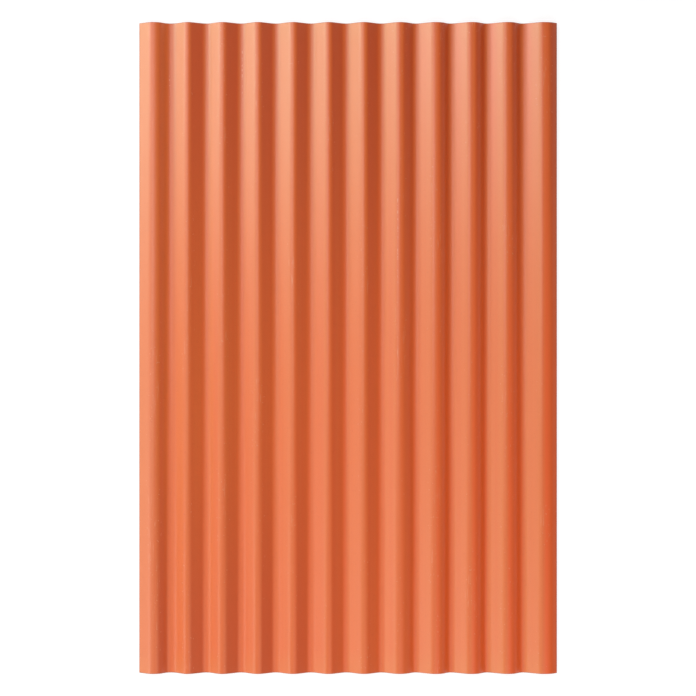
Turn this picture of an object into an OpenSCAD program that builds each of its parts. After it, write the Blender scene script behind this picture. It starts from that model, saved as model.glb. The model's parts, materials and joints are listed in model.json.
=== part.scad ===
// Corrugated PVC roofing sheet, lying flat with its crests up.
// It is one extruded and formed sheet, so it is one solid: round crests and round valleys of the
// same radius, joined by straight flanks, with one wall thickness all over.
// X runs across the waves, Y along them and Z up. The origin is on the surface that the valleys
// rest on, under the middle of the sheet.

/* [Sheet] */
// Length of the sheet, along its waves
sheet_length = 1400; // [400:10:3000]
// Thickness of the PVC
wall = 1.2; // [0.8:0.1:2.5]

/* [Waves] */
// Number of crests
crests = 12; // [3:1:16]
// Distance from one crest to the next
pitch = 76; // [64:1:88]
// Height from the underside of the valleys to the top of the crests
wave_height = 18; // [16:0.5:24]
// Slope of the straight flank between a crest and a valley, in degrees
flank_angle = 32; // [28:1:44]

/* [Side edges] */
// Distance from the left edge of the sheet to its first crest
left_run = 30; // [20:1:44]
// Distance from the last crest to the right edge of the sheet
right_run = 34; // [20:1:44]

/* [Hidden] */

// Flat facets that make up one bend of the section
bend_facets = 12;

sheet_width = left_run + (crests - 1) * pitch + right_run;
first_crest = left_run - sheet_width / 2;

// The middle line of the wall: its rise from valley to crest, its height halfway up, and the
// radius that its bends need so that flanks of flank_angle join them smoothly.
rise = wave_height - wall;
mid_height = wave_height / 2;
bend_r = (pitch / 2 - rise / tan(flank_angle)) / (2 * tan(flank_angle / 2));

// A station is a point of the middle line and the slope there: [x, z, slope].
// The bend at x is a valley where side is 1 and a crest where it is -1.
function bend_stations(x, side) = [
    for (i = [0 : bend_facets])
        let (turn = flank_angle * (2 * i / bend_facets - 1))
            [
                x + bend_r * sin(turn),
                mid_height + side * (bend_r * (1 - cos(turn)) - rise / 2),
                side * turn
            ]
];

// A bend at every half pitch, from the crest beyond one side edge to the crest beyond the other.
// Each flank is the straight stretch from one bend's last station to the next one's first.
function stations() = [
    for (k = [-2 : 2 * crests])
        each bend_stations(first_crest + k * pitch / 2, k % 2 == 0 ? -1 : 1)
];

// The middle line, moved off by a distance at right angles to itself.
function edge_line(offset) = [
    for (s = stations())
        [s[0] - offset * sin(s[2]), s[1] + offset * cos(s[2])]
];

function reversed(list) = [for (i = [len(list) - 1 : -1 : 0]) list[i]];

// The section of the wall, trimmed to the width of the sheet.
module section() {
    intersection() {
        polygon(concat(edge_line(-wall / 2), reversed(edge_line(wall / 2))));
        translate([-sheet_width / 2, -wall])
            square([sheet_width, wave_height + 2 * wall]);
    }
}

module corrugated_sheet() {
    color([0.90, 0.41, 0.15])
        translate([0, sheet_length / 2, 0])
            rotate([90, 0, 0])
                linear_extrude(height = sheet_length)
                    section();
}

corrugated_sheet();
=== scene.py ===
"""A corrugated PVC roofing sheet: its bent slab, its worn satin finish and a small studio.

Geometry Nodes bend one flat slab of PVC into the sheet, and one procedural material finishes it.
Lengths are in metres. X runs across the waves, Y along them and Z up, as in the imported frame.
"""

import json
import math
from types import SimpleNamespace

import bpy
from bpy.props import FloatProperty, FloatVectorProperty, IntProperty, PointerProperty
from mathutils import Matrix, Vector


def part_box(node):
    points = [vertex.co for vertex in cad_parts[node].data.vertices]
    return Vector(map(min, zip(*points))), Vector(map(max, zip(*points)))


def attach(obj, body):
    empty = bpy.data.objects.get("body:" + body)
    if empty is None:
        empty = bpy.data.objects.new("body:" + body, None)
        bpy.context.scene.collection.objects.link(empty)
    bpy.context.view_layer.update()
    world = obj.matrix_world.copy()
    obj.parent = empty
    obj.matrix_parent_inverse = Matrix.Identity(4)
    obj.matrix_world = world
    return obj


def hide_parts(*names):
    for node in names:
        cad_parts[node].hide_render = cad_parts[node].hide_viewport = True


bl_info = {
    "name": "Corrugated PVC Roofing Sheet",
    "version": (1, 0, 0),
    "blender": (4, 5, 0),
    "location": "View3D > Sidebar > Roofing",
    "description": "Makes a corrugated PVC roofing sheet and a studio to show it in",
    "category": "Add Mesh",
}

NODE = "corrugated_sheet"
BODY = "root"
MM = 0.001

# A face belongs to a cut edge where its normal rises or falls by less than this.
CUT_EDGE_RISE = 0.5

# ---------------------------------------------------------------------------------------------
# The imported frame, which every size of the sheet comes from
# ---------------------------------------------------------------------------------------------

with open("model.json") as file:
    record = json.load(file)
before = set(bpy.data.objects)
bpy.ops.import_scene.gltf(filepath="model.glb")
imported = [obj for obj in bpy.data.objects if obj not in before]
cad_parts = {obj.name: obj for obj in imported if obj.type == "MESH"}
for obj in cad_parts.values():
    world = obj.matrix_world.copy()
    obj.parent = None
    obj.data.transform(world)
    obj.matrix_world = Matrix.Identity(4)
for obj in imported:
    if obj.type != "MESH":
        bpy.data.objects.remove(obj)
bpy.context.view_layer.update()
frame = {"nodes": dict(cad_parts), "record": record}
SHEET_LOW, SHEET_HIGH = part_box(NODE)
SHEET_SIZE = SHEET_HIGH - SHEET_LOW


def hollow_middles():
    """The middles of the crest hollows that the record states, from left to right."""
    openings = frame["record"]["physics"]["openings"]
    hollows = [o["box_m"] for o in openings if o["name"].startswith("crest_hollow")]
    return sorted((low[0] + high[0]) / 2 for low, high in hollows)


def wall_thickness():
    """The wall, from the end mount, which sits halfway up the cut wall of a valley."""
    mounts = frame["record"]["mounts"]
    end = next(m for m in mounts if m["name"] == "head_end")
    return 2 * end["pos_m"][2]


def steepest_flank():
    """The slope of the straight flanks, which are the steepest faces apart from the cut edges."""
    faces = frame["nodes"][NODE].data.polygons
    return math.acos(min(abs(f.normal.z) for f in faces if abs(f.normal.z) > CUT_EDGE_RISE))


CRESTS = hollow_middles()
WALL = wall_thickness()
FLANK = steepest_flank()


# ---------------------------------------------------------------------------------------------
# Settings
# ---------------------------------------------------------------------------------------------


class SheetSettings(bpy.types.PropertyGroup):
    """Sizes of the sheet."""

    length: FloatProperty(
        name="Length",
        description="Length of the sheet along its waves",
        default=SHEET_SIZE.y,
        unit="LENGTH",
    )
    width: FloatProperty(
        name="Width",
        description="Width of the sheet across its waves",
        default=SHEET_SIZE.x,
        unit="LENGTH",
    )
    wave_height: FloatProperty(
        name="Wave height",
        description="Height from the underside of the valleys to the top of the crests",
        default=SHEET_SIZE.z,
        unit="LENGTH",
    )
    wall: FloatProperty(
        name="Wall",
        description="Thickness of the PVC",
        default=WALL,
        unit="LENGTH",
    )
    pitch: FloatProperty(
        name="Pitch",
        description="Distance from one crest to the next",
        default=CRESTS[1] - CRESTS[0],
        unit="LENGTH",
    )
    first_crest: FloatProperty(
        name="First crest",
        description="Place of the first crest, measured from the middle of the sheet",
        default=CRESTS[0],
        unit="LENGTH",
    )
    flank_angle: FloatProperty(
        name="Flank angle",
        description="Slope of the straight flank between a crest and a valley",
        default=FLANK,
        subtype="ANGLE",
    )
    drift: FloatProperty(
        name="Drift",
        description="How far the waves have spread sideways, from the middle to the right edge",
        default=6.4 * MM,
        unit="LENGTH",
    )
    easing: FloatProperty(
        name="Easing",
        description="How much more gently the outer waves turn where a flank starts",
        default=0.40,
        subtype="FACTOR",
    )
    first_flank: FloatProperty(
        name="First flank",
        description="How much nearer to the first valley the first crest lies",
        default=1.6 * MM,
        unit="LENGTH",
    )
    valley_lead: FloatProperty(
        name="Valley lead",
        description="How far left of their even places the valleys on the right lie",
        default=3.6 * MM,
        unit="LENGTH",
    )
    last_flank: FloatProperty(
        name="Last flank",
        description="How much gentler the sheet falls from its last crest to the right edge",
        default=0.22,
        subtype="FACTOR",
    )
    wander: FloatProperty(
        name="Wander",
        description="How far a crest line strays sideways along the sheet",
        default=0.9 * MM,
        unit="LENGTH",
    )
    unevenness: FloatProperty(
        name="Unevenness",
        description="Share of its height that a wave may fall short of its neighbours",
        default=0.05,
        subtype="FACTOR",
    )
    edge_break: FloatProperty(
        name="Edge break",
        description="Width of the broken edge all round the sawn sheet",
        default=0.2 * MM,
        unit="LENGTH",
    )
    columns: IntProperty(
        name="Columns",
        description="Number of points across the waves",
        default=385,
    )
    rows: IntProperty(
        name="Rows",
        description="Number of points along the waves",
        default=101,
    )
    seed: IntProperty(
        name="Seed",
        description="Picks one of the possible unevennesses",
        default=7,
    )


class PvcSettings(bpy.types.PropertyGroup):
    """Colours and relief of the PVC, and the colours of its painted sheen, light and shade."""

    colour: FloatVectorProperty(
        name="Colour",
        description="Colour of the PVC",
        subtype="COLOR",
        size=3,
        default=(0.79, 0.114, 0.004),
    )
    bleached: FloatVectorProperty(
        name="Bleached",
        description="Colour that rubbed and sun-bleached places drift to",
        subtype="COLOR",
        size=3,
        default=(0.80, 0.185, 0.02),
    )
    # Pigment also paints the shade on the flanks that face right, away from the lamps.
    pigment_and_shade: FloatVectorProperty(
        name="Pigment",
        description="Colour of the darker specks and lines, and of the deepest flanks",
        subtype="COLOR",
        size=3,
        default=(0.66, 0.075, 0.004),
    )
    # Painted light: the brighter colour that the flanks turned right are painted towards the
    # right.
    flank_light: FloatVectorProperty(
        name="Fresh",
        description="Colour of the PVC where no sun has reached it",
        subtype="COLOR",
        size=3,
        default=(0.97, 0.108, 0.003),
    )
    # Painted sheen: the paler colour that the flanks facing the lamps are painted, most by the
    # head end.
    lit_sheen: FloatVectorProperty(
        name="Faded",
        description="Colour of the PVC where the sun has faded it most",
        subtype="COLOR",
        size=3,
        default=(0.73, 0.26, 0.030),
    )
    # Painted shade: the darker colour that the valleys by the head end are painted.
    valley_shade: FloatVectorProperty(
        name="Grime",
        description="Colour of the dirt that dries in the valleys by the head end",
        subtype="COLOR",
        size=3,
        default=(0.40, 0.075, 0.004),
    )
    # Chalk also paints a sheen on the lit flanks on the left by the head end.
    chalk_and_sheen_colour: FloatVectorProperty(
        name="Chalk",
        description="Colour of scuffs and chalky places, where the plastic has gone whitish",
        subtype="COLOR",
        size=3,
        default=(0.93, 0.49, 0.30),
    )
    roughness: FloatProperty(
        name="Roughness",
        description="Roughness of the weather side",
        default=0.42,
        subtype="FACTOR",
    )
    line_depth: FloatProperty(
        name="Line depth",
        description="Depth of the lines that the extrusion die leaves along the sheet",
        default=0.035 * MM,
        unit="LENGTH",
    )
    grain_depth: FloatProperty(
        name="Grain depth",
        description="Depth of the fine grain all over the sheet",
        default=0.03 * MM,
        unit="LENGTH",
    )
    # Painted shade: the width of the darker band that is painted along every edge.
    edge_shade_width: FloatProperty(
        name="Edge wear",
        description="Width of the darker rim that the saw and handling leave along the edges",
        default=2.2 * MM,
        unit="LENGTH",
    )
    scuffing: FloatProperty(
        name="Scuffing",
        description="How strongly scuffs and nicks show",
        default=0.4,
        subtype="FACTOR",
    )


class StudioSettings(bpy.types.PropertyGroup):
    """Camera and light of the studio."""

    camera_height: FloatProperty(
        name="Camera height",
        description="Height of the camera above the sheet",
        default=3.5,
        unit="LENGTH",
    )
    camera_margin: FloatProperty(
        name="Camera margin",
        description="Height of the picture as a multiple of the length of the sheet",
        default=1.07,
    )
    lamp_level: FloatProperty(
        name="Lamp level",
        description="Strength of all lamps together, where 1 is the plain level",
        default=1.0,
    )
    ambience: FloatProperty(
        name="Ambience",
        description="Strength of the even light from all sides",
        default=0.228,
    )


# ---------------------------------------------------------------------------------------------
# Node trees written as Python
# ---------------------------------------------------------------------------------------------

# How the nodes are laid out in the editor.
NODES_IN_A_ROW = 24
NODE_WIDTH = 190
NODE_HEIGHT = 240


class Value:
    """A number in a node tree. A sum that is written with it adds Math nodes to the tree."""

    def __init__(self, graph, socket):
        self.graph = graph
        self.socket = socket

    def __add__(self, other):
        return self.graph.math("ADD", self, other)

    def __sub__(self, other):
        return self.graph.math("SUBTRACT", self, other)

    def __mul__(self, other):
        return self.graph.math("MULTIPLY", self, other)

    def __truediv__(self, other):
        return self.graph.math("DIVIDE", self, other)

    def __mod__(self, other):
        return self.graph.math("FLOORED_MODULO", self, other)

    def __neg__(self):
        return self.graph.math("MULTIPLY", self, -1.0)

    def __radd__(self, other):
        return self.graph.math("ADD", other, self)

    def __rsub__(self, other):
        return self.graph.math("SUBTRACT", other, self)

    def __rmul__(self, other):
        return self.graph.math("MULTIPLY", other, self)

    def __rtruediv__(self, other):
        return self.graph.math("DIVIDE", other, self)

    def __abs__(self):
        return self.graph.math("ABSOLUTE", self)

    def __lt__(self, other):
        return self.graph.math("LESS_THAN", self, other)


class Graph:
    """A node tree, and the one way in which nodes are added to it."""

    def __init__(self, tree):
        self.tree = tree
        tree.nodes.clear()

    def node(self, kind, settings=None, inputs=None):
        """Adds a node: first its settings, then the values or links of its sockets."""
        row, column = divmod(len(self.tree.nodes), NODES_IN_A_ROW)
        new = self.tree.nodes.new(kind)
        new.location = (NODE_WIDTH * column, -NODE_HEIGHT * row)
        for name, setting in (settings or {}).items():
            setattr(new, name, setting)
        for key, value in (inputs or {}).items():
            if isinstance(value, Value):
                value = value.socket
            if isinstance(value, bpy.types.NodeSocket):
                self.tree.links.new(value, new.inputs[key])
            else:
                new.inputs[key].default_value = value
        return new

    def value(self, kind, settings=None, inputs=None, output=0):
        """Adds a node and gives one of its outputs, as a number to write sums with."""
        return Value(self, self.node(kind, settings, inputs).outputs[output])

    def math(self, operation, *terms):
        """One Math node."""
        return self.value("ShaderNodeMath", {"operation": operation}, dict(enumerate(terms)))

    def split(self, vector):
        """The three numbers of a vector."""
        parts = self.node("ShaderNodeSeparateXYZ", {}, {0: vector}).outputs
        return [Value(self, part) for part in parts]

    def vector(self, x, y, z):
        """A vector of three numbers."""
        return self.node("ShaderNodeCombineXYZ", {}, {0: x, 1: y, 2: z}).outputs[0]

    def scaled(self, vector, scale, shift):
        """A vector that is scaled and then shifted."""
        sockets = {0: vector, 1: scale, 2: shift}
        return self.node("ShaderNodeVectorMath", {"operation": "MULTIPLY_ADD"}, sockets).outputs[0]

    def noise(self, place, detail, roughness=0.5):
        """Noise from 0 to 1 at a place that is already scaled."""
        sockets = {"Vector": place, "Scale": 1.0, "Detail": detail, "Roughness": roughness}
        return self.value("ShaderNodeTexNoise", {}, sockets, "Fac")

    def ramp(self, value, low, high, start=0.0, end=1.0):
        """A smooth step from start to end, as the value goes from low to high."""
        settings = {"interpolation_type": "SMOOTHSTEP"}
        sockets = {0: value, 1: low, 2: high, 3: start, 4: end}
        return self.value("ShaderNodeMapRange", settings, sockets)

    def blend(self, share, first, second):
        """The share of the way from the first colour to the second."""
        sockets = {"Factor": share, 6: first, 7: second}
        return self.node("ShaderNodeMix", {"data_type": "RGBA"}, sockets).outputs[2]


def opaque(colour):
    """A colour setting as the four numbers that a colour socket takes."""
    return (*colour, 1.0)


# ---------------------------------------------------------------------------------------------
# The sheet
# ---------------------------------------------------------------------------------------------

# The inputs of the sheet's node tree. Each but the material takes the setting of the same name.
SIZE_INPUTS = (
    "Length",
    "Width",
    "Wall",
    "Wave Height",
    "Pitch",
    "First Crest",
    "Flank Angle",
    "Drift",
    "Easing",
    "First Flank",
    "Valley Lead",
    "Last Flank",
    "Wander",
    "Unevenness",
)
COUNT_INPUTS = ("Columns", "Rows", "Seed")
MATERIAL_INPUT = "Material"

# Where the waves change, as a share of the half width: -1 is the left edge and 1 the right one.
# A change starts at the first number of its pair and is full at the second.
RIGHT_WAVES = (0.10, 0.40)
LEFT_WAVES = (-0.2, -0.7)
PAST_FIRST_WAVE = (-0.90, -0.80)
BY_FIRST_CREST = (-0.84, -0.94)
FIRST_FALL = (-0.84, -0.90)
BEFORE_SECOND_CREST = (-0.70, -0.78)
PAST_FIRST_CREST = (-0.94, -0.90)

# This share of the drift is taken off all over, so that the waves lie about their even places.
DRIFT_BALANCE = 0.28

# The valleys on the left lie the other way, by this share of the lead of those on the right.
LEFT_LAG = 0.7

# The first valley turns up gently by this share of the easing.
VALLEY_EASING = 0.5

# The noises that make the waves uneven: how many features a metre holds across and along, how far
# past the seed the slice of the noise is taken, and its detail. The halves keep a slice off the
# whole numbers, where such noise is weakest.
STRAY_NOISE = (6.0, 3.5, 0.5, 1.0)
DROP_NOISE = (9.0, 1.5, 40.5, 0.0)

# Layers of points through the wall: one below and one above.
POINTS_THROUGH = 2

# The broken edge: its facets, and how sharp an edge has to be to get them.
BREAK_SEGMENTS = 2
BREAK_ANGLE = math.radians(60)


def unevenness(graph, size, across, along, noise):
    """Slow noise over the sheet, from 0 to 1, which the seed changes."""
    across_scale, along_scale, cut, detail = noise
    place = graph.vector(across * across_scale, along * along_scale, size["Seed"] + cut)
    return graph.noise(place, detail)


def wave_of(graph, size, across, along):
    """The middle layer of the wall at a place: its height and its slope.

    A bend is an arc of one radius and a flank is its tangent, so a place needs only its distance
    to the nearest crest or valley. Crests count as even bends and valleys as odd ones.
    """
    half_pitch = size["Pitch"] / 2.0
    rise = size["Wave Height"] - size["Wall"]
    tangent = graph.math("TANGENT", size["Flank Angle"])
    sine = graph.math("SINE", size["Flank Angle"])
    half_tangent = graph.math("TANGENT", size["Flank Angle"] / 2.0)
    bend_r = (half_pitch - rise / tangent) / (2.0 * half_tangent)

    # The waves have spread to the right and wander a little.
    edge_share = across / (size["Width"] / 2.0)
    spread = graph.math("MAXIMUM", edge_share, 0.0)
    drift = size["Drift"] * (spread * spread - DRIFT_BALANCE)
    drift = drift + size["First Flank"] * graph.ramp(edge_share, *BY_FIRST_CREST)
    stray = unevenness(graph, size, across, along, STRAY_NOISE)
    wander = size["Wander"] * (2.0 * stray - 1.0)
    from_first = across - size["First Crest"] - drift - wander

    # Valleys lie left of the middle between two crests on the right, and right of it on the left.
    phase = from_first * (math.pi / half_pitch)
    swing = graph.math("SINE", phase)
    cosine = graph.math("COSINE", phase)
    valley = (1.0 - cosine) / 2.0
    on_right = graph.ramp(edge_share, *RIGHT_WAVES)
    on_left = graph.ramp(edge_share, *LEFT_WAVES) * graph.ramp(edge_share, *PAST_FIRST_WAVE)
    lead = size["Valley Lead"] * valley * (on_right - LEFT_LAG * on_left)

    # The crests on the right and the first crest turn down gently, and the first valley turns up
    # gently too.
    falling = graph.math("MAXIMUM", swing, 0.0) * graph.math("MINIMUM", 1.0 + cosine, 1.0)
    falling = falling * (on_right + graph.ramp(edge_share, *FIRST_FALL))
    first_valley = graph.ramp(edge_share, *BEFORE_SECOND_CREST)
    first_valley = first_valley * graph.ramp(edge_share, *PAST_FIRST_CREST)
    rising = VALLEY_EASING * graph.math("MAXIMUM", -swing, 0.0) * first_valley
    easing = size["Easing"] * (half_pitch / math.pi)
    from_first = from_first + lead - easing * (falling + rising)
    past_last = from_first - (len(CRESTS) - 1) * size["Pitch"]
    from_first = from_first - size["Last Flank"] * graph.math("MAXIMUM", past_last, 0.0)

    bend = graph.math("ROUND", from_first / half_pitch)
    from_bend = from_first - bend * half_pitch
    crest = 1.0 - 2.0 * (bend % 2.0)

    away = abs(from_bend)
    in_bend = graph.math("MINIMUM", away, bend_r * sine)
    fall = bend_r - graph.math("SQRT", bend_r * bend_r - in_bend * in_bend)
    fall = fall + (away - in_bend) * tangent
    turn = graph.math("ARCSINE", in_bend / bend_r) * graph.math("SIGN", from_bend)

    shrink = 1.0 - size["Unevenness"] * unevenness(graph, size, across, along, DROP_NOISE)
    height = size["Wall"] / 2.0 + (rise / 2.0 + crest * (rise / 2.0 - fall)) * shrink
    return height, -crest * turn


def stored(graph, mesh, domain, name, value):
    """The mesh with a number on each of its points or faces, under a name."""
    return graph.node(
        "GeometryNodeStoreNamedAttribute",
        {"data_type": "FLOAT", "domain": domain},
        {"Geometry": mesh, "Name": name, "Value": value},
    ).outputs[0]


def bent_slab(graph, size):
    """A flat slab, bent so that its middle layer follows the wave."""
    slab = graph.node(
        "GeometryNodeMeshCube",
        {},
        {
            "Size": graph.vector(size["Width"], size["Length"], size["Wall"]),
            "Vertices X": size["Columns"],
            "Vertices Y": size["Rows"],
            "Vertices Z": POINTS_THROUGH,
        },
    ).outputs["Mesh"]
    upward = graph.split(graph.node("GeometryNodeInputNormal").outputs[0])[2]
    marked = stored(graph, slab, "FACE", "underside", upward < -CUT_EDGE_RISE)
    marked = stored(graph, marked, "FACE", "sawn", abs(upward) < CUT_EDGE_RISE)
    across, along, above = graph.split(graph.node("GeometryNodeInputPosition").outputs[0])
    height, slope = wave_of(graph, size, across, along)
    marked = stored(graph, marked, "POINT", "climb", slope / size["Flank Angle"])
    side = size["Width"] / 2.0
    leaning = across - above * graph.math("SINE", slope)
    leaning = graph.math("MAXIMUM", graph.math("MINIMUM", leaning, side), -side)
    lifted = height + above * graph.math("COSINE", slope)
    return graph.node(
        "GeometryNodeSetPosition",
        {},
        {"Geometry": marked, "Position": graph.vector(leaning, along, lifted)},
    ).outputs[0]


def sheet_tree():
    """The Geometry Nodes tree that makes the whole sheet from its sizes."""
    tree = bpy.data.node_groups.new("corrugated_sheet", "GeometryNodeTree")
    for names, kind in (
        (SIZE_INPUTS, "NodeSocketFloat"),
        (COUNT_INPUTS, "NodeSocketInt"),
        ((MATERIAL_INPUT,), "NodeSocketMaterial"),
    ):
        for name in names:
            tree.interface.new_socket(name, in_out="INPUT", socket_type=kind)
    tree.interface.new_socket("Geometry", in_out="OUTPUT", socket_type="NodeSocketGeometry")
    graph = Graph(tree)
    entry = graph.node("NodeGroupInput").outputs
    size = {name: Value(graph, entry[name]) for name in (*SIZE_INPUTS, *COUNT_INPUTS)}
    bent = bent_slab(graph, size)
    smooth = graph.node("GeometryNodeSetShadeSmooth", {}, {"Geometry": bent}).outputs[0]
    real = graph.node("GeometryNodeRealizeInstances", {}, {"Geometry": smooth}).outputs[0]
    painting = {"Geometry": real, "Material": entry[MATERIAL_INPUT]}
    painted = graph.node("GeometryNodeSetMaterial", {}, painting).outputs[0]
    graph.node("NodeGroupOutput", {}, {"Geometry": painted})
    return tree


def input_values(sheet, material):
    """The value of each input of the sheet's node tree."""
    names = (*SIZE_INPUTS, *COUNT_INPUTS)
    values = {name: getattr(sheet, name.lower().replace(" ", "_")) for name in names}
    values[MATERIAL_INPUT] = material
    return values


def grown(name, tree, values, edge_break):
    """A plain mesh object that a node tree makes from its inputs, with its edges broken."""
    seedling = bpy.data.objects.new(name + ".seedling", bpy.data.meshes.new(name + ".seedling"))
    bpy.context.scene.collection.objects.link(seedling)
    modifier = seedling.modifiers.new("nodes", "NODES")
    modifier.node_group = tree
    for item in tree.interface.items_tree:
        if item.in_out == "INPUT":
            modifier[item.identifier] = values[item.name]
    bevel = seedling.modifiers.new("broken_edge", "BEVEL")
    bevel.width = edge_break
    bevel.segments = BREAK_SEGMENTS
    bevel.limit_method = "ANGLE"
    bevel.angle_limit = BREAK_ANGLE
    bevel.harden_normals = True
    evaluated = seedling.evaluated_get(bpy.context.evaluated_depsgraph_get())
    mesh = bpy.data.meshes.new_from_object(evaluated)
    mesh.name = name
    bpy.data.objects.remove(seedling)
    made = bpy.data.objects.new(name, mesh)
    bpy.context.scene.collection.objects.link(made)
    return made


class ROOFING_OT_corrugated_sheet(bpy.types.Operator):
    """Make the corrugated sheet with its finish"""

    bl_idname = "roofing.corrugated_sheet"
    bl_label = "Corrugated Sheet"

    def execute(self, context):
        sheet = context.scene.roofing_sheet
        values = input_values(sheet, pvc_material(context.scene.roofing_pvc, sheet))
        piece = grown("pvc_sheet", sheet_tree(), values, sheet.edge_break)
        if not piece.data.polygons:
            raise RuntimeError("the sheet has no faces")
        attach(piece, BODY)
        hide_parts(NODE)
        return {"FINISHED"}


# ---------------------------------------------------------------------------------------------
# The finish
# ---------------------------------------------------------------------------------------------

# The noises of the finish: how many features a metre holds across, along and up, which slice of
# the noise is taken where the height doesn't count, its detail and its roughness.
NOISES = {
    "fine_lines": ((700.0, 0.6, 0.0), 3.5, 3.0, 0.7),
    "broad_lines": ((170.0, 0.35, 0.0), 8.5, 2.0, 0.5),
    "clouds": ((5.0, 3.0, 0.0), 1.5, 3.0, 0.5),
    "grain": ((900.0, 700.0, 900.0), 0.0, 2.0, 0.5),
    "specks": ((260.0, 200.0, 260.0), 0.0, 2.0, 0.7),
    "streaks": ((480.0, 26.0, 0.0), 5.5, 2.0, 0.6),
    "clusters": ((14.0, 5.0, 0.0), 12.5, 2.0, 0.5),
    "nicks": ((330.0, 240.0, 0.0), 17.5, 0.0, 0.5),
    "chips": ((330.0, 210.0, 0.0), 35.5, 1.0, 0.5),
    "dents": ((45.0, 38.0, 0.0), 21.5, 1.0, 0.5),
}

# The zones of the finish: what each is measured by, where it starts and where it is full.
# height is 0 in a valley and 1 on a crest. across and along are shares of the width and the
# length, from -0.5 at the left edge or the foot end to 0.5. to_end is the distance to the nearer
# cut end. climb is 1 on a flank that faces left and -1 on one that faces right. The others are
# noises, from 0 to 1.
ZONES = {
    "crest": ("height", 0.72, 0.98),
    "valley": ("height", 0.35, 0.02),
    "upper": ("height", 0.55, 0.8),
    "lower": ("height", 0.65, 0.15),
    "headward": ("along", -0.25, 0.5),
    "footward": ("along", -0.1, -0.5),
    "leftward": ("across", 0.1, -0.2),
    "rightward": ("across", 0.05, 0.40),
    "off_left_edge": ("across", -0.44, -0.36),
    "off_left": ("across", -0.3, -0.05),
    "past_middle": ("across", 0.08, 0.18),
    "left_strip": ("across", -0.455, -0.475),
    "right_edge": ("across", 0.480, 0.490),
    "by_end": ("to_end", 0.06, 0.01),
    "facing_left": ("climb", 0.1, 0.9),
    "facing_right": ("climb", -0.35, -1.0),
    "turned_right": ("climb", 0.2, -0.4),
    "dull_right": ("climb", -0.2, -0.8),
    "off_right_flank": ("climb", -1.0, -0.3),
    "banded": ("broad_lines", 0.36, 0.64),
    "lined": ("fine_lines", 0.5, 0.7),
    "speckled": ("specks", 0.56, 0.72),
    "streaked": ("streaks", 0.60, 0.70),
    "in_cluster": ("clusters", 0.56, 0.68),
    "near_cluster": ("clusters", 0.46, 0.56),
    "nicked": ("nicks", 0.78, 0.83),
    "chipped": ("chips", 0.50, 0.60),
}

# How much of each layer of colour shows where it is full.
SHOWN = SimpleNamespace(
    bands=0.28,
    clouds=0.12,
    specks=0.30,
    lines=0.10,
    dust=0.10,
    crests=0.12,
    # Painted shade on the flanks that face right, and painted light on the flanks turned right.
    shade_by_head=0.7,
    shade_left_foot=0.6,
    light_off_left=0.3,
    light_on_right=0.4,
    # Painted shade in the valleys by the head end.
    valley_shade=0.25,
    left_strip=0.14,
    # Painted sheen on the lit flanks on the left by the head end.
    head_sheen=0.15,
    scratches=0.4,
    nicks=0.7,
    chips=0.75,
    cut_faces=0.30,
    # Painted shade along the edges.
    edge_shade=0.55,
)

# How much painted sheen makes the flanks that face the lamps paler: all over, more or less in
# some zones, and how much of that the shade keeps off.
SHEEN = SimpleNamespace(
    all_over=0.14,
    on_right=0.06,
    left_foot=-0.04,
    by_head=0.36,
    by_end=0.12,
    shaded=0.9,
)

# Which share of an effect is missing in a zone where it is weaker.
LESS_SHEEN_PAST_MIDDLE = 0.4
LESS_FLANK_LIGHT_BY_HEAD = 0.7
LESS_RUBBED_LEFT_FOOT = 0.5

# How much each thing adds to the roughness, and how much it takes from the gloss of the skin.
ROUGHENING = SimpleNamespace(
    grain=0.08,
    bands=0.05,
    scuffs=0.20,
    underside=0.12,
    cut_faces=0.35,
    valleys=0.06,
)
DULLING = SimpleNamespace(dirt=0.45, hands=0.9)

# The roughness of the glossy skin, and the refractive index below it.
SKIN_ROUGHNESS = 0.4
IOR = 1.6

# How far each thing stands out or, below 0, goes in. The fine lines are next to the broad ones,
# and the others next to the grain.
RELIEF = SimpleNamespace(
    fine_lines=0.4,
    specks=0.6,
    nicks=1.5,
    scuffs=-1.2,
    dents=5.0,
    scratches=-2.0,
    chips=1.5,
)

# The painted shade along the edges: its colour, and how dark it is at the least, before the
# clouds are added.
EDGE_SHADE_COLOUR = (0.30, 0.10, 0.05)
EDGE_SHADE_LEAST = 0.5

# Each long scratch: the crest that it is measured from, how far beside that crest it runs, and
# where along the sheet it starts and ends.
SCRATCHES = (
    (7, -5.5 * MM, 0.040, 0.345),
    (1, -41.0 * MM, 0.490, 0.590),
    (3, -36.0 * MM, 0.500, 0.650),
)
SCRATCH_WIDTH = 2.4 * MM
SCRATCH_WAVER = 2.0 * MM

# A long scratch comes up over the first share of its length and runs out over the second.
SCRATCH_START = 0.8
SCRATCH_STOP = 0.1

# The bends in a metre of a long scratch, and the line of the noise that they are taken from.
SCRATCH_BENDS = 11.0
BENDS_LINE = (2.5, 31.5)


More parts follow.
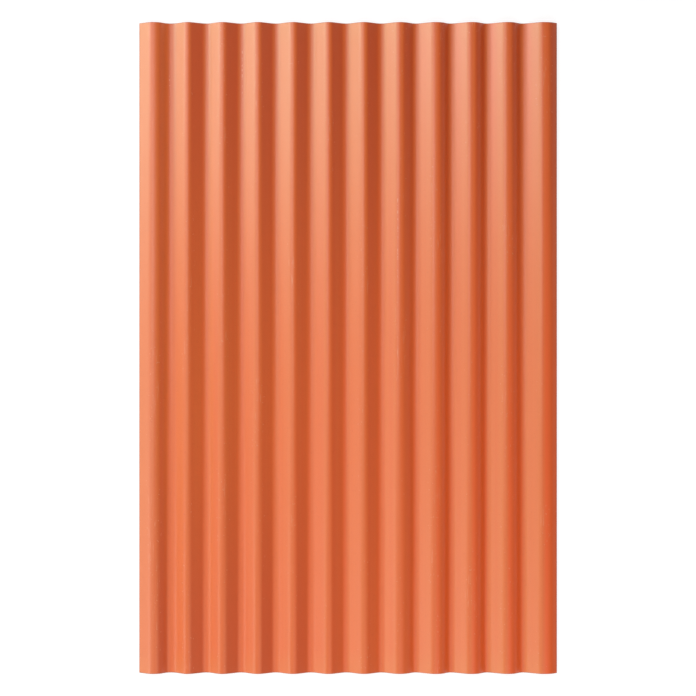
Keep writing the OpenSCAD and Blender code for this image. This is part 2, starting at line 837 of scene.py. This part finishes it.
def surface_of(graph, sheet):
    """Where a point of the surface lies, and the noises and zones there."""
    place = graph.node("ShaderNodeTexCoord").outputs["Object"]
    x, y, z = graph.split(place)
    here = {
        "x": x,
        "y": y,
        "height": z / sheet.wave_height,
        "across": x / sheet.width,
        "along": y / sheet.length,
        "to_side": sheet.width / 2.0 - abs(x),
        "to_end": sheet.length / 2.0 - abs(y),
    }
    for name in ("underside", "sawn", "climb"):
        here[name] = graph.value("ShaderNodeAttribute", {"attribute_name": name}, {}, "Fac")
    for name, (scale, cut, detail, roughness) in NOISES.items():
        here[name] = graph.noise(graph.scaled(place, scale, (0.0, 0.0, cut)), detail, roughness)
    for name, (measure, start, full) in ZONES.items():
        here[name] = graph.ramp(here[measure], start, full)
    weather_side = 1.0 - graph.math("MAXIMUM", here["underside"], here["sawn"])
    here["weather_side"] = weather_side
    here["on_crest"] = here["crest"] * weather_side
    here["in_valley"] = here["valley"] * weather_side
    here["left_foot"] = here["leftward"] * here["footward"]
    here["by_head"] = here["headward"] * here["headward"]
    return SimpleNamespace(**here)


def long_scratches(graph, sheet, at):
    """The long scratches, 1 in their middle."""
    bends = graph.noise(graph.vector(at.y * SCRATCH_BENDS, *BENDS_LINE), detail=1.0)
    straightened = at.x + SCRATCH_WAVER * (2.0 * bends - 1.0)
    scratched = 0.0
    for crest, beside, start, end in SCRATCHES:
        middle = sheet.first_crest + crest * sheet.pitch + beside
        band = graph.ramp(abs(straightened - middle), SCRATCH_WIDTH / 2, 0.0)
        length = end - start
        run = graph.ramp(at.y, start, start + SCRATCH_START * length)
        run = run * graph.ramp(at.y, end, end - SCRATCH_STOP * length)
        scratched = scratched + band * run
    return scratched


def wear_and_edge_shade_of(graph, sheet, pvc, at):
    """The marks of use: scuffs, nicks, long scratches with their chips; and painted edge shade."""
    scratched = long_scratches(graph, sheet, at)
    edge_shade = graph.ramp(graph.math("MINIMUM", at.to_side, at.to_end), pvc.edge_shade_width, 0.0)
    return SimpleNamespace(
        # Scuffs are short scratches along the crests, where sheets were slid on each other.
        scuff=at.streaked * at.in_cluster * at.on_crest,
        nick=at.nicked * at.upper * at.weather_side * at.near_cluster,
        scratch=scratched * at.weather_side,
        chip=scratched * at.chipped * at.weather_side,
        # Painted shade: a darker band along every edge.
        edge_shade=edge_shade * (EDGE_SHADE_LEAST + at.clouds),
    )


def painted_light_chalk_and_gloss_of(graph, at):
    """Painted sheen, light and shade, the chalky left edge, and the gloss that the skin has lost.
    """
    # Painted sheen: the flanks that climb from the left face the lamps and are painted paler,
    # most by the head end and a little by both cut ends. On the right the sheen stays off each
    # flank's foot, which lies in shade.
    shade = SHEEN.shaded * at.rightward * at.headward * at.lower
    lit_side = at.facing_left * at.weather_side * (1.0 - shade)
    all_over = SHEEN.all_over + SHEEN.on_right * at.rightward + SHEEN.left_foot * at.left_foot
    near_head = SHEEN.by_head * at.by_head * (1.0 - LESS_SHEEN_PAST_MIDDLE * at.past_middle)
    lit_sheen = lit_side * (all_over + near_head + SHEEN.by_end * at.by_end)

    # Painted shade on the flanks that face right, away from the lamps: deep by the head end and at
    # the left of the foot end. Painted light makes the flanks turned right brighter off the left
    # edge and towards the right.
    flank_shade = SHOWN.shade_by_head * at.by_head * at.off_left_edge + SHOWN.shade_left_foot * at.left_foot
    flank_shade = flank_shade * at.facing_right * at.weather_side
    flank_light = SHOWN.light_off_left * at.off_left + SHOWN.light_on_right * at.rightward
    flank_light = flank_light * at.turned_right * at.weather_side
    flank_light = flank_light * (1.0 - LESS_FLANK_LIGHT_BY_HEAD * at.headward)

    # The plastic has turned to chalk along the left edge. Painted sheen in the chalk colour lies
    # on the lit flanks on the left by the head end, and painted shade darkens the valleys there.
    strip = SHOWN.left_strip * at.left_strip * at.weather_side * (1.0 - at.headward)
    chalk_and_sheen = strip + SHOWN.head_sheen * lit_side * at.leftward * at.by_head
    valley_shading = SHOWN.valley_shade * at.in_valley * at.off_right_flank * at.headward

    # The skin has lost some of its gloss behind the crests and in the valleys, where dirt lies by
    # the head end and where hands hold the right edge.
    sheltered = graph.math("MAXIMUM", at.dull_right * at.weather_side, at.in_valley)
    dirty = DULLING.dirt * at.by_head * (1.0 - at.leftward)
    dull = sheltered * graph.math("MAXIMUM", dirty, DULLING.hands * at.right_edge)
    return SimpleNamespace(
        lit_sheen=lit_sheen, flank_shade=flank_shade, flank_light=flank_light, chalk_and_sheen=chalk_and_sheen, valley_shading=valley_shading, dull=dull
    )


def colour_of(graph, pvc, at, wear, weather):
    """The colour of the PVC under its layers, each over the ones before it."""
    rubbed = SHOWN.bands * at.banded + SHOWN.clouds * at.clouds
    layers = (
        (rubbed * (1.0 - LESS_RUBBED_LEFT_FOOT * at.left_foot), pvc.bleached),
        (SHOWN.specks * at.speckled, pvc.pigment_and_shade),
        (SHOWN.lines * at.lined, pvc.pigment_and_shade),
        (SHOWN.dust * at.in_valley * at.clouds, pvc.bleached),
        (SHOWN.crests * at.on_crest, pvc.bleached),
        # Painted sheen, light and shade on the flanks, painted shade in the valleys, and painted
        # sheen in the chalk colour with the chalky left edge.
        (weather.lit_sheen, pvc.lit_sheen),
        (weather.flank_light, pvc.flank_light),
        (weather.flank_shade, pvc.pigment_and_shade),
        (weather.valley_shading, pvc.valley_shade),
        (weather.chalk_and_sheen, pvc.chalk_and_sheen_colour),
        (SHOWN.scratches * wear.scratch, pvc.pigment_and_shade),
        (pvc.scuffing * (wear.scuff + SHOWN.nicks * wear.nick), pvc.chalk_and_sheen_colour),
        (SHOWN.chips * wear.chip, pvc.chalk_and_sheen_colour),
        (SHOWN.cut_faces * at.sawn, pvc.chalk_and_sheen_colour),
        # Painted shade along the edges.
        (SHOWN.edge_shade * wear.edge_shade, EDGE_SHADE_COLOUR),
    )
    colour = opaque(pvc.colour)
    for share, layer in layers:
        colour = graph.blend(share, colour, opaque(layer))
    return colour


def roughness_of(pvc, at, wear):
    """The roughness, which the grain and the lines vary and wear, dirt and the saw raise."""
    varied = ROUGHENING.grain * (at.grain - 0.5) + ROUGHENING.bands * (at.broad_lines - 0.5)
    worn = ROUGHENING.scuffs * wear.scuff + ROUGHENING.valleys * at.in_valley
    bare = ROUGHENING.underside * at.underside + ROUGHENING.cut_faces * at.sawn
    return pvc.roughness + varied + worn + bare


def bumped(graph, depth, height, normal=None):
    """The normal of a surface that stands out by a depth times its height."""
    sockets = {"Strength": 1.0, "Distance": depth, "Height": height}
    if normal is not None:
        sockets["Normal"] = normal
    return graph.node("ShaderNodeBump", {}, sockets).outputs[0]


def normal_of(graph, pvc, at, wear):
    """The normal: lines that the die left along the sheet, with the grain and the marks on top."""
    lines = at.broad_lines + RELIEF.fine_lines * at.fine_lines
    relief = at.grain + RELIEF.specks * at.specks + RELIEF.dents * at.dents * at.on_crest
    relief = relief + RELIEF.nicks * wear.nick + RELIEF.scuffs * wear.scuff
    relief = relief + RELIEF.scratches * wear.scratch + RELIEF.chips * wear.chip
    return bumped(graph, pvc.grain_depth, relief, bumped(graph, pvc.line_depth, lines))


def pvc_material(pvc, sheet):
    """Satin PVC: die lines, fine grain, marks of use, chalk, dulled gloss, painted sheen, light
    and shade.
    """
    material = bpy.data.materials.new("satin_pvc")
    material.use_nodes = True
    graph = Graph(material.node_tree)
    at = surface_of(graph, sheet)
    wear = wear_and_edge_shade_of(graph, sheet, pvc, at)
    # This holds the painted sheen, light and shade, besides the chalky edge and the dulled gloss.
    weather = painted_light_chalk_and_gloss_of(graph, at)
    finish = {
        "Base Color": colour_of(graph, pvc, at, wear, weather),
        "Roughness": roughness_of(pvc, at, wear),
        "Normal": normal_of(graph, pvc, at, wear),
        "IOR": IOR,
        "Coat Weight": 1.0 - weather.dull,
        "Coat Roughness": SKIN_ROUGHNESS,
    }
    shader = graph.node("ShaderNodeBsdfPrincipled", {}, finish)
    graph.node("ShaderNodeOutputMaterial", {}, {"Surface": shader.outputs[0]})
    return material


# ---------------------------------------------------------------------------------------------
# The studio
# ---------------------------------------------------------------------------------------------

# The floor, with circles of points where it is flat, the cove where it curves up, and the wall.
FLOOR_RADIUS = 60.0
FLOOR_SIDES = 48
FLAT_CIRCLES = (2.0, 6.0, 20.0)
COVE_RADIUS = 3.0
COVE_STEPS = 6
WALL_HEIGHT = 18.0

# The paper, its own colour where it is seen directly, and how strongly it glows there: at the
# first distance from the sheet's middle and nearer, and at the second and further.
PAPER = (0.8, 0.8, 0.8)
SEEN_PAPER = (0.3, 0.3, 0.3)
GLOW_DISTANCES = (1.5, 8.0)
GLOW = (0.80, 1.0)

# The softboxes, which all face the middle of the sheet: where each hangs, the side of its square
# and its watts at the plain level.
LAMPS = {
    "key_lamp": ((-3.0, 2.0, 2.8), 1.3, 56.6),
    "side_lamp": ((-5.0, 1.5, 1.8), 1.8, 36.4),
    "far_lamp": ((-5.0, -1.5, 3.5), 1.8, 28.9),
    "high_lamp": ((-1.0, 1.2, 4.2), 1.3, 26.3),
    "top_lamp": ((-1.2, 0.2, 4.2), 1.3, 8.2),
    "foot_lamp": ((0.5, -2.4, 2.2), 1.3, 30.6),
    "corner_lamp": ((-3.0, -3.0, 2.8), 1.3, 38.0),
}
WHITE = (1.0, 1.0, 1.0)

# In millimetres, as the lens is. The picture is square, so this is the sensor's height too.
SENSOR_WIDTH = 36.0


def cove_mesh():
    """A round floor whose edge curves up into a wall, as one sheet that faces inwards."""
    flat_radius = FLOOR_RADIUS - COVE_RADIUS
    rings = [(radius, 0.0) for radius in (*FLAT_CIRCLES, flat_radius)]
    for step in range(1, COVE_STEPS + 1):
        turn = math.radians(90 / COVE_STEPS * step)
        out = flat_radius + COVE_RADIUS * math.sin(turn)
        rings.append((out, COVE_RADIUS * (1 - math.cos(turn))))
    rings.append((FLOOR_RADIUS, WALL_HEIGHT))
    points = [(0.0, 0.0, 0.0)]
    for radius, height in rings:
        for side in range(FLOOR_SIDES):
            turn = 2 * math.pi * side / FLOOR_SIDES
            points.append((radius * math.cos(turn), radius * math.sin(turn), height))
    faces = [(0, 1 + side, 1 + (side + 1) % FLOOR_SIDES) for side in range(FLOOR_SIDES)]
    for ring in range(len(rings) - 1):
        inner = 1 + ring * FLOOR_SIDES
        outer = inner + FLOOR_SIDES
        for side in range(FLOOR_SIDES):
            after = (side + 1) % FLOOR_SIDES
            faces.append((inner + side, outer + side, outer + after, inner + after))
    mesh = bpy.data.meshes.new("studio_floor")
    mesh.from_pydata(points, [], faces)
    return mesh


def matte(graph, colour):
    """A plain matte shader."""
    return graph.node("ShaderNodeBsdfDiffuse", {}, {"Color": opaque(colour)}).outputs[0]


def floor_material():
    """White paper. Where it is seen directly it glows enough to show white and keep shadows."""
    material = bpy.data.materials.new("white_paper")
    material.use_nodes = True
    graph = Graph(material.node_tree)
    rays = graph.node("ShaderNodeLightPath").outputs
    seen = Value(graph, rays["Is Camera Ray"]) + Value(graph, rays["Is Glossy Ray"])
    seen = graph.math("MINIMUM", seen + Value(graph, rays["Is Transmission Ray"]), 1.0)
    place = graph.node("ShaderNodeTexCoord").outputs["Object"]
    distance = graph.value("ShaderNodeVectorMath", {"operation": "LENGTH"}, {0: place}, "Value")
    glow = graph.ramp(distance, *GLOW_DISTANCES, *GLOW)
    light = graph.node("ShaderNodeEmission", {}, {"Strength": glow}).outputs[0]
    shown = graph.node("ShaderNodeAddShader", {}, {0: matte(graph, SEEN_PAPER), 1: light})
    sides = {0: seen, 1: matte(graph, PAPER), 2: shown.outputs[0]}
    front = graph.node("ShaderNodeMixShader", {}, sides).outputs[0]
    clear = graph.node("ShaderNodeBsdfTransparent").outputs[0]
    back = graph.node("ShaderNodeNewGeometry").outputs["Backfacing"]
    shader = graph.node("ShaderNodeMixShader", {}, {0: back, 1: front, 2: clear}).outputs[0]
    graph.node("ShaderNodeOutputMaterial", {}, {"Surface": shader})
    return material


def soft_lamp(name, place, side, watts):
    """A square softbox that faces the sheet."""
    light = bpy.data.lights.new(name, "AREA")
    light.shape = "SQUARE"
    light.size = side
    light.energy = watts
    lamp = bpy.data.objects.new(name, light)
    lamp.location = place
    lamp.rotation_mode = "QUATERNION"
    lamp.rotation_quaternion = (-Vector(place)).to_track_quat("-Z", "Y")
    bpy.context.scene.collection.objects.link(lamp)


def white_world(ambience):
    """Even white light from all sides."""
    world = bpy.data.worlds.new("studio")
    world.use_nodes = True
    graph = Graph(world.node_tree)
    even = {"Color": opaque(WHITE), "Strength": ambience}
    background = graph.node("ShaderNodeBackground", {}, even).outputs[0]
    graph.node("ShaderNodeOutputWorld", {}, {"Surface": background})
    return world


def overhead_camera(height, picture_height):
    """A camera straight above the sheet, with the head end of the sheet at the top."""
    data = bpy.data.cameras.new("overhead")
    data.sensor_width = SENSOR_WIDTH
    middle = (SHEET_LOW + SHEET_HIGH) / 2
    distance = height - middle.z
    data.lens = SENSOR_WIDTH * distance / picture_height
    camera = bpy.data.objects.new("overhead", data)
    camera.location = (middle.x, middle.y, height)
    bpy.context.scene.collection.objects.link(camera)
    return camera


class ROOFING_OT_studio(bpy.types.Operator):
    """Make the white floor, the soft lamps and the camera above the sheet"""

    bl_idname = "roofing.studio"
    bl_label = "Studio"

    def execute(self, context):
        studio = context.scene.roofing_studio
        floor = bpy.data.objects.new("studio_floor", cove_mesh())
        floor.data.materials.append(floor_material())
        context.scene.collection.objects.link(floor)
        for name, (place, side, watts) in LAMPS.items():
            soft_lamp(name, place, side, watts * studio.lamp_level)
        context.scene.world = white_world(studio.ambience)
        picture_height = studio.camera_margin * SHEET_SIZE.y
        context.scene.camera = overhead_camera(studio.camera_height, picture_height)
        context.scene.view_settings.view_transform = "Standard"
        return {"FINISHED"}


# ---------------------------------------------------------------------------------------------
# The add-on
# ---------------------------------------------------------------------------------------------

STEPS = (ROOFING_OT_corrugated_sheet, ROOFING_OT_studio)


class ROOFING_PT_panel(bpy.types.Panel):
    """Lists what the add-on makes"""

    bl_idname = "ROOFING_PT_panel"
    bl_label = "Corrugated Sheet"
    bl_space_type = "VIEW_3D"
    bl_region_type = "UI"
    bl_category = "Roofing"

    def draw(self, context):
        for step in STEPS:
            self.layout.operator(step.bl_idname)


CLASSES = (SheetSettings, PvcSettings, StudioSettings, *STEPS, ROOFING_PT_panel)
SETTINGS = {
    "roofing_sheet": SheetSettings,
    "roofing_pvc": PvcSettings,
    "roofing_studio": StudioSettings,
}


def register():
    for part in CLASSES:
        bpy.utils.register_class(part)
    for name, group in SETTINGS.items():
        setattr(bpy.types.Scene, name, PointerProperty(type=group))


def unregister():
    for name in SETTINGS:
        delattr(bpy.types.Scene, name)
    for part in reversed(CLASSES):
        bpy.utils.unregister_class(part)


def main():
    """Makes the sheet and the studio."""
    register()
    bpy.ops.roofing.corrugated_sheet()
    bpy.ops.roofing.studio()


if __name__ == "__main__":
    main()
